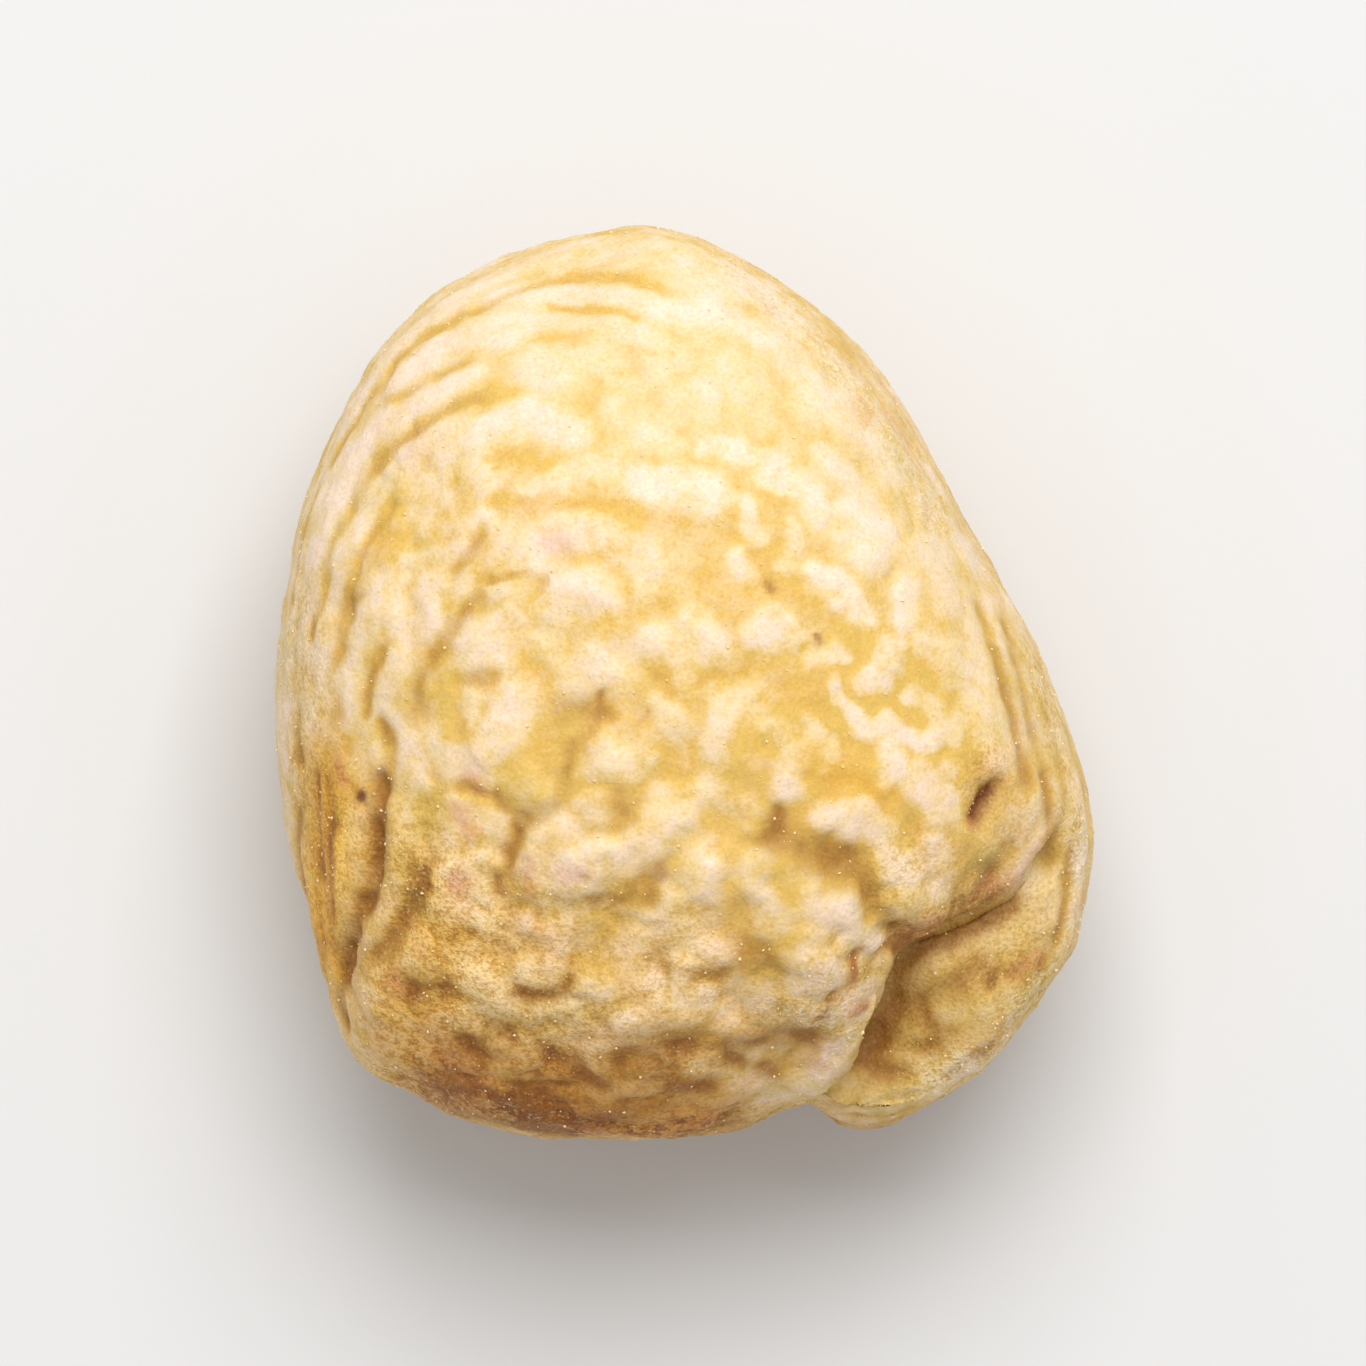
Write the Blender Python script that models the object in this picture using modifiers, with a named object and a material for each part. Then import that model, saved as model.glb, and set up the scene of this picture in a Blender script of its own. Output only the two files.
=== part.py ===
"""A peeled chestnut kernel, as a plain solid at real size.

The kernel grew as one piece. Its broad main lobe and a lower, smaller lobe
meet in a curved fold at the front right, and it lies on a small flat spot on
its flatter underside. X is across the kernel, Y is along it from the folded
end to the pointed shoulder, and the origin is under the middle of its box,
on the surface that it rests on.
"""

import math

import bmesh
import bpy
import numpy as np

MM = 0.001

# Driving dimensions in millimetres
KERNEL_LENGTH = 33.5
KERNEL_THICKNESS = 21.5
WIDEST_HEIGHT = 9.6
REST_SPOT_LENGTH = 12.0

# Main lobe seen from above, as points round its edge. The stretch from
# (14.5, -5.8) to (4.3, -15.1) is the wall that faces the lower lobe.
MAIN_CENTRE = (-0.6, 0.2)
MAIN_EDGE = (
    (13.8, -1.2), (12.6, 2.2), (10.6, 5.7), (9.0, 8.6), (6.7, 12.3), (3.1, 15.1),
    (-1.6, 16.8), (-5.2, 16.2), (-9.1, 14.3), (-12.4, 10.4), (-14.4, 4.2), (-14.9, -2.9),
    (-13.4, -10.2), (-12.3, -13.1), (-9.9, -15.0), (-6.3, -16.3), (-1.8, -16.8),
    (2.1, -16.2), (4.3, -15.1), (5.9, -13.6), (7.0, -11.2), (7.9, -9.5), (10.4, -8.8),
    (12.8, -7.2), (14.5, -5.8), (14.7, -3.6),
)
MAIN_SQUARENESS = 0.78

# The crown is a plain oval, and the edge's own shape fades out towards it
CROWN_HALF_LENGTH = 15.8
CROWN_HALF_WIDTH = 13.6

# Lower lobe, a long low swelling that lies across the front right corner
LOBE_CENTRE = (8.1, -9.3)
LOBE_HALF_LENGTH = 7.9
LOBE_HALF_WIDTH = 5.7
LOBE_DIRECTION = math.radians(44.0)
LOBE_TOP = 16.4
LOBE_WIDEST_HEIGHT = 8.6
LOBE_SQUARENESS = 0.85

# Cage of each lobe before it is smoothed, and how far it stands outside the
# smoothed surface
MERIDIANS = 32
PARALLELS = 16
CAGE_GROWTH = 1.006
SMOOTHING_LEVELS = 1

KERNEL_COLOUR = (0.82, 0.66, 0.36, 1.0)
KERNEL_ROUGHNESS = 0.62


def clear_scene():
    """Take away whatever the opened file holds."""
    for thing in list(bpy.data.objects):
        bpy.data.objects.remove(thing, do_unlink=True)


def new_collection(name):
    """Make a collection of this name in the scene."""
    group = bpy.data.collections.new(name)
    bpy.context.scene.collection.children.link(group)
    return group


def kernel_material():
    """Pale yellow flesh with a dull, slightly waxy surface."""
    flesh = bpy.data.materials.new("kernel_flesh")
    flesh.use_nodes = True
    shader = flesh.node_tree.nodes["Principled BSDF"]
    shader.inputs["Base Color"].default_value = KERNEL_COLOUR
    shader.inputs["Roughness"].default_value = KERNEL_ROUGHNESS
    shader.inputs["Metallic"].default_value = 0.0
    flesh.diffuse_color = KERNEL_COLOUR
    return flesh


def edge_radius(edge, centre, angles):
    """Distance from the centre to the edge curve at each angle.

    The edge points are put in order of their angle and joined by a smooth
    closed curve in polar form: between two points the radius follows a cubic
    whose slope at each point is that of its two neighbours.
    """
    offsets = np.array(edge) - np.array(centre)
    turn = np.arctan2(offsets[:, 1], offsets[:, 0])
    reach = np.hypot(offsets[:, 0], offsets[:, 1])
    order = np.argsort(turn)
    turn, reach = turn[order], reach[order]
    around = np.concatenate((turn - math.tau, turn, turn + math.tau))
    radii = np.concatenate((reach, reach, reach))
    slopes = np.gradient(radii, around)
    start = np.searchsorted(around, angles, side="right") - 1
    span = around[start + 1] - around[start]
    t = (angles - around[start]) / span
    return (
        (2 * t**3 - 3 * t**2 + 1) * radii[start]
        + (t**3 - 2 * t**2 + t) * span * slopes[start]
        + (3 * t**2 - 2 * t**3) * radii[start + 1]
        + (t**3 - t**2) * span * slopes[start + 1]
    )


def oval_radius(angles, half_length, half_width, direction):
    """Distance from the centre of an ellipse to its edge at each angle."""
    along = np.cos(angles - direction) / half_length
    across = np.sin(angles - direction) / half_width
    return 1.0 / np.hypot(along, across)


def main_radius(angles, ring):
    """Reach of the main lobe where its level line is at this share of the edge."""
    edge = edge_radius(MAIN_EDGE, MAIN_CENTRE, angles)
    crown = oval_radius(angles, CROWN_HALF_LENGTH, CROWN_HALF_WIDTH, math.radians(90.0))
    return crown + (edge - crown) * ring**2


def lobe_radius(angles, ring):
    """Reach of the lower lobe, the same oval at every height."""
    return oval_radius(angles, LOBE_HALF_LENGTH, LOBE_HALF_WIDTH, LOBE_DIRECTION) + 0.0 * ring


def underside_depth(rest_reach, widest_reach, squareness):
    """How deep a rounded underside would go if its flat spot were not cut.

    A cut of the wanted reach crosses a profile whose reach is the widest
    reach times cos(t) ** squareness, at the height -depth * sin(t).
    """
    lift = math.acos((rest_reach / widest_reach) ** (1.0 / squareness))
    return WIDEST_HEIGHT / math.sin(lift)


def soft_lobe(name, group, centre, radius_at, widest, top, depth, squareness):
    """A rounded closed body with the given edge, smoothed from a coarse ball."""
    mesh = bpy.data.meshes.new(name)
    ball = bmesh.new()
    bmesh.ops.create_uvsphere(ball, u_segments=MERIDIANS, v_segments=PARALLELS, radius=1.0)
    at = np.array([corner.co[:] for corner in ball.verts])
    angles = np.arctan2(at[:, 1], at[:, 0])
    ring = np.clip(np.hypot(at[:, 0], at[:, 1]), 0.0, 1.0) ** squareness
    reach = radius_at(angles, ring) * ring * CAGE_GROWTH
    height = np.where(at[:, 2] > 0.0, top - widest, depth) * at[:, 2] * CAGE_GROWTH
    places = np.stack((
        centre[0] + reach * np.cos(angles),
        centre[1] + reach * np.sin(angles),
        widest + height,
    ), axis=1) * MM
    for corner, place in zip(ball.verts, places):
        corner.co = place
    ball.to_mesh(mesh)
    ball.free()
    mesh.shade_smooth()
    body = bpy.data.objects.new(name, mesh)
    group.objects.link(body)
    smoothing = body.modifiers.new("smoothing", "SUBSURF")
    smoothing.levels = SMOOTHING_LEVELS
    smoothing.render_levels = SMOOTHING_LEVELS
    return body


def floor_cutter(group):
    """A block whose top is the plane that the kernel rests on."""
    side = 3.0 * KERNEL_LENGTH * MM
    mesh = bpy.data.meshes.new("floor_cutter")
    block = bmesh.new()
    bmesh.ops.create_cube(block, size=side)
    block.to_mesh(mesh)
    block.free()
    cutter = bpy.data.objects.new("floor_cutter", mesh)
    cutter.location.z = -0.5 * side
    group.objects.link(cutter)
    return cutter


def boolean(body, other, operation):
    """Join or cut a body with another closed mesh."""
    step = body.modifiers.new(operation.lower(), "BOOLEAN")
    step.operation = operation
    step.object = other
    step.solver = "EXACT"
    other.hide_render = True
    other.display_type = "WIRE"


def build():
    """Make the kernel from its two lobes and cut its rest spot."""
    clear_scene()
    parts = new_collection("chestnut")
    cutters = new_collection("cutters")
    depth = underside_depth(0.5 * REST_SPOT_LENGTH, 0.5 * KERNEL_LENGTH, MAIN_SQUARENESS)
    kernel = soft_lobe(
        "kernel", parts, MAIN_CENTRE, main_radius,
        WIDEST_HEIGHT, KERNEL_THICKNESS, depth, MAIN_SQUARENESS,
    )
    lobe = soft_lobe(
        "lower_lobe", cutters, LOBE_CENTRE, lobe_radius,
        LOBE_WIDEST_HEIGHT, LOBE_TOP, LOBE_WIDEST_HEIGHT - 1.0, LOBE_SQUARENESS,
    )
    boolean(kernel, lobe, "UNION")
    boolean(kernel, floor_cutter(cutters), "DIFFERENCE")
    kernel.data.materials.append(kernel_material())


build()
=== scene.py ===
import math

import bpy
import numpy as np
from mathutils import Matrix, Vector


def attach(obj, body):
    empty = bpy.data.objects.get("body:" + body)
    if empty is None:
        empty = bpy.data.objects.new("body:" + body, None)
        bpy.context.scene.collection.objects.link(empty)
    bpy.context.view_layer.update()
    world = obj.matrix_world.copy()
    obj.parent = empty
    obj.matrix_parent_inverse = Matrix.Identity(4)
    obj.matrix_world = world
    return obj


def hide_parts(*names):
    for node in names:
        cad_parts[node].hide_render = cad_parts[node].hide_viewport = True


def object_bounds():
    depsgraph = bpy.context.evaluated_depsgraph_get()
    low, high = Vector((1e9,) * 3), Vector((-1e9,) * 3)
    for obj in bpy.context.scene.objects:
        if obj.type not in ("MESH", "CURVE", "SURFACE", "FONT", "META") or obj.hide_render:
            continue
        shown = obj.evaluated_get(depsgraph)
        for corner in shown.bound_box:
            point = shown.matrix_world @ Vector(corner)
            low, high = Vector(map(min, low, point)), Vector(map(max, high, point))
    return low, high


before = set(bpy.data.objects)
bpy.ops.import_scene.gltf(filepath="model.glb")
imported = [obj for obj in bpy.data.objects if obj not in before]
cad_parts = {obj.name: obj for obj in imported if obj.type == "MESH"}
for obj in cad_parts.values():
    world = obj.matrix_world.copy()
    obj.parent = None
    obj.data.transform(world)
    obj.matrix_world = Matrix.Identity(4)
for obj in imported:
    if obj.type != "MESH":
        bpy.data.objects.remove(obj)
cad_low, cad_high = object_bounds()

# Kernel. The peeled seed grew as one piece of firm, waxy, pale yellow flesh.
# Its outline, dome and underside are worked out here, then the fold that parts the
# low lobe from the rest, and last the wrinkles that the skin left pressed into it.

MM = 0.001

# Sizes in mm
CENTRE = (-0.6, 0.2)
TOP_HEIGHT = cad_high[2] / MM
WIDEST_HEIGHT = 9.6
UNDERSIDE_DEPTH = 10.15
CROWN_HALF_WIDTH = 13.6
CROWN_HALF_LENGTH = 15.8
SHOULDER = 0.17           # share by which the sides are fuller than an oval's

# Outline seen from above, clockwise from the top
OUTLINE = (
    (-1.61, 16.882), (0.23, 16.514), (2.99, 15.318), (5.566, 13.386), (7.866, 10.258),
    (9.614, 7.038), (11.454, 3.91), (12.834, 1.61), (13.662, -0.598), (14.398, -2.346),
    (14.95, -4.002), (15.134, -5.842), (14.95, -7.866), (14.306, -10.166), (13.294, -11.73),
    (12.006, -13.202), (10.626, -14.674), (8.878, -15.962), (7.13, -16.606), (5.75, -16.606),
    (4.554, -15.962), (3.45, -15.962), (2.07, -16.422), (0.23, -16.698), (-1.978, -16.882),
    (-4.462, -16.882), (-6.486, -16.79), (-8.51, -16.054), (-10.074, -15.134), (-11.546, -14.214),
    (-12.374, -13.202), (-12.834, -11.914), (-13.386, -10.258), (-14.122, -7.222),
    (-14.766, -3.358), (-14.858, -0.138), (-14.582, 3.818), (-14.03, 6.578), (-13.11, 8.786),
    (-12.282, 10.35), (-10.994, 12.558), (-9.246, 14.398), (-7.406, 15.41), (-5.106, 16.238),
    (-3.266, 16.606),
)


def edge_reach(turn):
    """Distance from CENTRE to the outline at each angle.

    A cubic in polar form runs from each outline point to the next, and its slope at
    a point is that of the two neighbours.
    """
    offset = np.array(OUTLINE) - CENTRE
    angle = np.arctan2(offset[:, 1], offset[:, 0])
    order = np.argsort(angle)
    angle = angle[order]
    reach = np.hypot(offset[:, 0], offset[:, 1])[order]
    angle = np.concatenate((angle - math.tau, angle, angle + math.tau))
    reach = np.tile(reach, 3)
    slope = np.gradient(reach, angle)
    left = np.searchsorted(angle, turn, side="right") - 1
    span = angle[left + 1] - angle[left]
    t = (turn - angle[left]) / span
    return (
        (2 * t**3 - 3 * t**2 + 1) * reach[left]
        + (t**3 - 2 * t**2 + t) * span * slope[left]
        + (3 * t**2 - 2 * t**3) * reach[left + 1]
        + (t**3 - t**2) * span * slope[left + 1]
    )


def crown_reach(turn):
    """Distance from CENTRE to an oval of the crown's half axes."""
    return 1.0 / np.hypot(np.cos(turn) / CROWN_HALF_WIDTH, np.sin(turn) / CROWN_HALF_LENGTH)


def ring_at(rise):
    """Share of the outline at the sine of a lift, as body_point says."""
    return np.sqrt(np.clip(1.0 - rise**2, 0.0, 1.0)) * (1.0 + SHOULDER * rise**2)


def plan_reach(crown, edge, ring):
    """Reach at a share of the outline, from the oval to the edge by the share's square."""
    return (crown + (edge - crown) * ring**2) * ring


def body_point(way):
    """Place on the plain body for each unit direction.

    The ring is cos(lift) * (1 + SHOULDER * sin(lift)**2), so the sides are fuller
    than an ellipse's, and the height is the sine of the lift times the dome or
    the underside.
    """
    turn = np.arctan2(way[:, 1], way[:, 0])
    rise = way[:, 2]
    reach = plan_reach(crown_reach(turn), edge_reach(turn), ring_at(rise))
    height = np.where(rise > 0.0, TOP_HEIGHT - WIDEST_HEIGHT, UNDERSIDE_DEPTH) * rise
    return np.stack((
        CENTRE[0] + reach * np.cos(turn),
        CENTRE[1] + reach * np.sin(turn),
        WIDEST_HEIGHT + height,
    ), axis=1)


HALVINGS = 40
LIFT_STEPS = 2000


def way_over(places, side=1.0):
    """Unit direction of the body point over (side 1) or under (-1) each place on the plan.

    The ring is found by halving its range, and its lift is read from a table.
    """
    offset = np.array(places) - CENTRE
    turn = np.arctan2(offset[:, 1], offset[:, 0])
    reach = np.hypot(offset[:, 0], offset[:, 1])
    crown, edge = crown_reach(turn), edge_reach(turn)
    low, high = np.zeros_like(reach), np.ones_like(reach)
    for _ in range(HALVINGS):
        middle = 0.5 * (low + high)
        short = plan_reach(crown, edge, middle) < reach
        low = np.where(short, middle, low)
        high = np.where(short, high, middle)
    lifts = np.linspace(0.0, 0.5 * math.pi, LIFT_STEPS)
    lift = np.interp(low, ring_at(np.sin(lifts))[::-1], lifts[::-1]) * side
    level = np.cos(lift)
    return np.stack((level * np.cos(turn), level * np.sin(turn), np.sin(lift)), axis=1)


def unit(vectors):
    """Vectors at length one."""
    return vectors / np.maximum(np.linalg.norm(vectors, axis=-1, keepdims=True), 1e-9)


def body_outward(way):
    """Outward normal of the plain body, from two small steps across each direction."""
    step = 0.002
    slanted = (0.31, 0.92, 0.24)
    first = unit(np.cross(way, slanted))
    second = np.cross(way, first)
    here = body_point(way)
    normal = np.cross(
        body_point(unit(way + step * first)) - here,
        body_point(unit(way + step * second)) - here,
    )
    facing = np.sign(np.einsum("ij,ij->i", normal, way))
    return unit(normal) * facing[:, None]


def nearest_on_path(spots, path):
    """Nearest point of a polyline for each spot: its place, its distance, and its step.

    The step counts the runs of the polyline up to that point.
    """
    start, end = path[:-1], path[1:]
    run = end - start
    along = np.einsum("psi,si->ps", spots[:, None, :] - start[None], run) / np.sum(run**2, axis=1)
    along = np.clip(along, 0.0, 1.0)
    foot = start[None] + along[..., None] * run[None]
    gap = np.linalg.norm(spots[:, None, :] - foot, axis=2)
    pick = np.argmin(gap, axis=1)
    row = np.arange(len(spots))
    return foot[row, pick], gap[row, pick], pick + along[row, pick]


def blend_step(low, high, value):
    """0 below low, 1 above high, and a smooth rise between them."""
    t = np.clip((value - low) / (high - low), 0.0, 1.0)
    return t * t * (3.0 - 2.0 * t)


# The fold's line on the plan, from its start near the right edge to where it has run
# down the side and faded out below
FOLD_ON_TOP = (
    (14.214, -4.278), (13.57, -5.566), (12.834, -6.67), (12.098, -7.59), (10.994, -8.418),
    (9.43, -9.062), (8.234, -9.43), (7.682, -9.982), (7.59, -10.902), (7.314, -11.914),
    (6.67, -13.202), (5.75, -14.398), (4.646, -15.226),
)
FOLD_BELOW = ((4.37, -15.042), (4.094, -14.122), (3.726, -12.558), (3.358, -10.718))

# At each of its points: its strength as a share, and how far the low lobe drops there
FOLD_STRENGTH = (
    0.0, 0.3, 0.6, 0.85, 1.0, 1.0, 1.0, 1.0, 1.0, 0.9, 0.75, 0.5, 0.2, 0.1, 0.05, 0.0, 0.0,
)
FOLD_DROP = (
    0.0, 0.5, 1.1, 1.6, 1.8, 1.9, 2.0, 2.3, 2.8, 3.1, 3.0, 2.4, 1.5, 0.8, 0.4, 0.2, 0.0,
)
FOLD_LIP = 1.2            # depth to which both edges round off
FOLD_LIP_REACH = 1.7
FOLD_WALL = 0.5           # width of the wall that faces the lobe
FOLD_REACH = 6.5          # how far from the line the fold can be felt
FOLD_CROWDING = 1.45      # power of the distance by which cells are drawn to the line
FOLD_LEAN = 0.8           # how far the fold leans from inwards to straight down
DROP_INWARDS = 0.15
DROP_DOWNWARDS = 0.9

fold_way = np.concatenate((way_over(FOLD_ON_TOP), way_over(FOLD_BELOW, -1.0)))
fold_path = body_point(fold_way)


def folded(way):
    """Place on the body for each direction, with the fold pressed in.

    Cells near the line are drawn to it as a power of their distance. Both sides round
    off by FOLD_LIP * exp(-(distance / FOLD_LIP_REACH)**1.5). The low lobe's side drops
    by FOLD_DROP within FOLD_WALL and climbs back as (1 - (distance / FOLD_REACH)**2)**2,
    and the drop fades where the body turns down.
    """
    spot = body_point(way)
    outward = body_outward(way)
    foot, gap, step = nearest_on_path(spot, fold_path)
    number = np.arange(len(fold_path))
    strength = np.interp(step, number, FOLD_STRENGTH)
    drop = np.interp(step, number, FOLD_DROP)
    run = np.clip(step.astype(int), 0, len(fold_path) - 2)
    across = np.cross(outward, (fold_path[1:] - fold_path[:-1])[run])
    side = np.sign(np.einsum("ij,ij->i", spot - foot, across))
    crowd = np.where(gap < FOLD_REACH, FOLD_REACH * (gap / FOLD_REACH) ** FOLD_CROWDING, gap)
    crowd = gap + (crowd - gap) * strength * blend_step(FOLD_REACH, 0.5 * FOLD_REACH, gap)
    spot = foot + (spot - foot) * (crowd / np.maximum(gap, 1e-9))[:, None]
    offset = side * crowd
    lobe_side = blend_step(0.0, FOLD_WALL, offset)
    basin = np.clip(1.0 - (np.abs(offset) / FOLD_REACH) ** 2, 0.0, 1.0) ** 2
    lip = FOLD_LIP * np.exp(-(np.abs(offset) / FOLD_LIP_REACH) ** 1.5)
    rise = outward[:, 2:]
    away = unit(outward + np.clip(rise, 0.0, 1.0) * (0.0, 0.0, FOLD_LEAN))
    up = away * DROP_INWARDS + blend_step(-0.45, 0.75, rise) * (0.0, 0.0, DROP_DOWNWARDS)
    return spot - away * (strength * lip)[:, None] - up * (lobe_side * drop * basin)[:, None]


CELLS = 128               # along each edge of the cube that is blown up into the body
TOP_CROWDING = 0.25       # how far the cells are drawn up to the face that shows most


def cube_grid(cells):
    """Directions and faces of a cube whose six square grids are blown up to a ball.

    Each grid runs over two parameters from -1 to 1, and tan(pi / 4 * parameter)
    gives cells of nearly equal angle. Points that grids share are used once.
    """
    steps = np.arange(cells + 1)
    u, v = np.meshgrid(steps, steps, indexing="ij")
    flat, full = np.zeros_like(u), np.full_like(u, cells)
    sides = (u, v, full), (v, u, flat), (full, u, v), (flat, v, u), (v, full, u), (u, flat, v)
    lattice = np.concatenate([np.stack(side, axis=-1).reshape(-1, 3) for side in sides])
    key = (lattice[:, 0] * (cells + 1) + lattice[:, 1]) * (cells + 1) + lattice[:, 2]
    _, first, index = np.unique(key, return_index=True, return_inverse=True)
    corner = index.reshape(6, cells + 1, cells + 1)
    faces = np.stack((
        corner[:, :-1, :-1], corner[:, 1:, :-1], corner[:, 1:, 1:], corner[:, :-1, 1:],
    ), axis=-1).reshape(-1, 4)
    spread = np.tan(0.25 * math.pi * (2.0 * lattice[first] / cells - 1.0))
    return unit(unit(spread) + (0.0, 0.0, TOP_CROWDING)), faces


def corner_normals(spots, faces):
    """Outward normal at each corner, from the diagonals of the faces round it."""
    corner = spots[faces]
    cross = np.cross(corner[:, 2] - corner[:, 0], corner[:, 3] - corner[:, 1])
    total = np.zeros_like(spots)
    for place in range(4):
        for axis in range(3):
            total[:, axis] += np.bincount(faces[:, place], cross[:, axis], len(spots))
    return unit(total)


kernel_way, kernel_faces = cube_grid(CELLS)
kernel_spots = folded(kernel_way)
kernel_normals = corner_normals(kernel_spots, kernel_faces)


HASH_STEPS = (73856093, 19349663, 83492791)


def lattice_noise(spots, size, seed):
    """Smooth noise from -1 to 1 whose lumps are about this size.

    Whole-number lattice points round each spot get a value from a hash, and the
    spot takes a smooth blend of the eight round it.
    """
    place = spots / size
    cell = np.floor(place).astype(np.int64)
    t = place - cell
    t = t * t * t * (t * (6.0 * t - 15.0) + 10.0)
    total = np.zeros(len(spots))
    for corner in np.ndindex(2, 2, 2):
        mixed = np.bitwise_xor.reduce((cell + corner) * HASH_STEPS, axis=1)
        mixed = mixed ^ (seed * 2654435761)
        mixed = (mixed ^ (mixed >> 13)) * 1274126177 & 0x7FFFFFFF
        mixed = (mixed ^ (mixed >> 15)) & 0xFFFFF
        weight = np.prod(np.where(corner, t, 1.0 - t), axis=1)
        total += weight * (mixed / 0xFFFFF * 2.0 - 1.0)
    return total


PIXEL = 0.092                     # size of one photo pixel on the kernel, in mm
PIXEL_CENTRE = (797.5, 643.5)     # photo pixel over the kernel's origin


def plan(points):
    """Places on the plan of photo pixels, which come as x and y in turn."""
    spot = np.reshape(points, (-1, 2)) - PIXEL_CENTRE
    return spot * (PIXEL, -PIXEL)


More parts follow.
